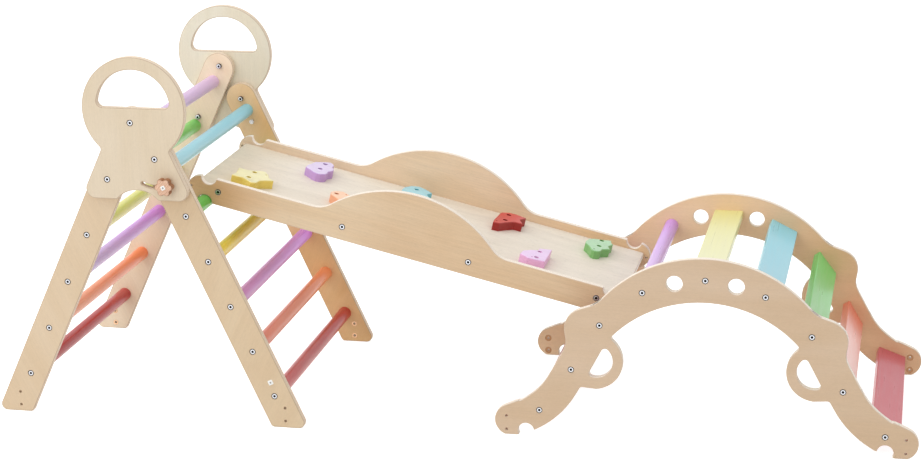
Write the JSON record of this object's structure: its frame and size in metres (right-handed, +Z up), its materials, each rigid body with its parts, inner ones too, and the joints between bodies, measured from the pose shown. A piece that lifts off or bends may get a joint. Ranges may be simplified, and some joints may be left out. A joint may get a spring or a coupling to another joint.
{
  "type": "toddler climbing set",
  "caption": "Wooden indoor climbing set: a folding ladder triangle, a ramp with shaped climbing holds and a low arched ladder, hooked together in a row.",
  "frame": {"origin": "on the floor, in the middle of the set's length and width", "axes": "+X from the ladder triangle towards the arch, +Y away from the viewer's side, +Z up"},
  "size_m": [1.9333, 0.6654, 0.7839],
  "materials": {
    "birch_ply": "satin lacquered plywood",
    "deck_ply": "satin lacquered pale plywood",
    "zinc": "bright zinc-plated steel",
    "brass": "plain brass",
    "white_plastic": "smooth white plastic",
    "knob_wood": "turned reddish wood",
    "lilac_paint": "satin water-based paint on wood",
    "blue_paint": "satin water-based paint on wood",
    "green_paint": "satin water-based paint on wood",
    "yellow_paint": "satin water-based paint on wood",
    "purple_paint": "satin water-based paint on wood",
    "coral_paint": "satin water-based paint on wood",
    "rose_paint": "satin water-based paint on wood",
    "yellow_hold": "satin water-based paint on wood",
    "lilac_hold": "satin water-based paint on wood",
    "coral_hold": "satin water-based paint on wood",
    "blue_hold": "satin water-based paint on wood",
    "red_hold": "satin water-based paint on wood",
    "pink_hold": "satin water-based paint on wood",
    "green_hold": "satin water-based paint on wood"
  },
  "bodies": {
    "rear_frame": {"rear_leg_near": "birch_ply", "rear_leg_far": "birch_ply", "rear_rung_1": "blue_paint", "rear_rung_2": "green_paint", "rear_rung_3": "yellow_paint", "rear_rung_4": "purple_paint", "rear_rung_5": "coral_paint", "rear_rung_6": "rose_paint", "rear_rung_screws": "zinc", "rear_leg_cap": "white_plastic", "pivot_bolts": "zinc", "pivot_nuts": "zinc", "clamp_nuts": "zinc"},
    "front_frame": {"front_leg_near": "birch_ply", "front_leg_far": "birch_ply", "front_rung_1": "lilac_paint", "front_rung_2": "green_paint", "front_rung_3": "yellow_paint", "front_rung_4": "purple_paint", "front_rung_5": "coral_paint", "front_rung_6": "rose_paint", "front_rung_screws": "zinc", "head_plate_near": "birch_ply", "head_plate_far": "birch_ply", "head_bolts": "zinc", "head_nuts": "zinc"},
    "knob_near": {"clamp_knob_near": "knob_wood", "clamp_bolt_near": "zinc", "clamp_cap_near": "white_plastic"},
    "knob_far": {"clamp_knob_far": "knob_wood", "clamp_bolt_far": "zinc", "clamp_cap_far": "white_plastic"},
    "ramp": {"ramp_side_near": "birch_ply", "ramp_side_far": "birch_ply", "ramp_deck": "deck_ply", "ramp_screws": "zinc", "hold_yellow": "yellow_hold", "hold_lilac": "lilac_hold", "hold_coral": "coral_hold", "hold_blue": "blue_hold", "hold_red": "red_hold", "hold_pink": "pink_hold", "hold_green": "green_hold", "hold_bolts": "zinc", "hold_nuts": "zinc"},
    "arch": {"arch_side_near": "birch_ply", "arch_side_far": "birch_ply", "arch_rung_1": "rose_paint", "arch_rung_2": "coral_paint", "arch_rung_3": "purple_paint", "arch_rung_4": "lilac_paint", "arch_slat_5": "yellow_paint", "arch_slat_6": "blue_paint", "arch_slat_7": "green_paint", "arch_slat_8": "coral_paint", "arch_slat_9": "rose_paint", "arch_screws": "zinc", "arch_inserts": "brass"}
  },
  "joints": [
    {"name": "fold", "type": "hinge", "parent": "rear_frame", "child": "front_frame", "pos_m": [-0.58452, 0, 0.5725], "axis": [0, -1, 0], "range_deg": [0, 49]},
    {"name": "knob_turn_near", "type": "hinge", "parent": "rear_frame", "child": "knob_near", "pos_m": [-0.56024, -0.315, 0.5196], "axis": [0, -1, 0], "continuous": true},
    {"name": "knob_turn_far", "type": "hinge", "parent": "rear_frame", "child": "knob_far", "pos_m": [-0.56024, 0.315, 0.5196], "axis": [0, 1, 0], "continuous": true},
    {"name": "ramp_tilt", "type": "hinge", "parent": "rear_frame", "child": "ramp", "pos_m": [-0.52834, 0.0125, 0.45008], "axis": [0, 1, 0], "range_deg": [-12, 0]},
    {"name": "arch_tilt", "type": "hinge", "parent": "ramp", "child": "arch", "pos_m": [0.32427, 0.0125, 0.2468], "axis": [0, 1, 0], "range_deg": [-8, 4]}
  ]
}
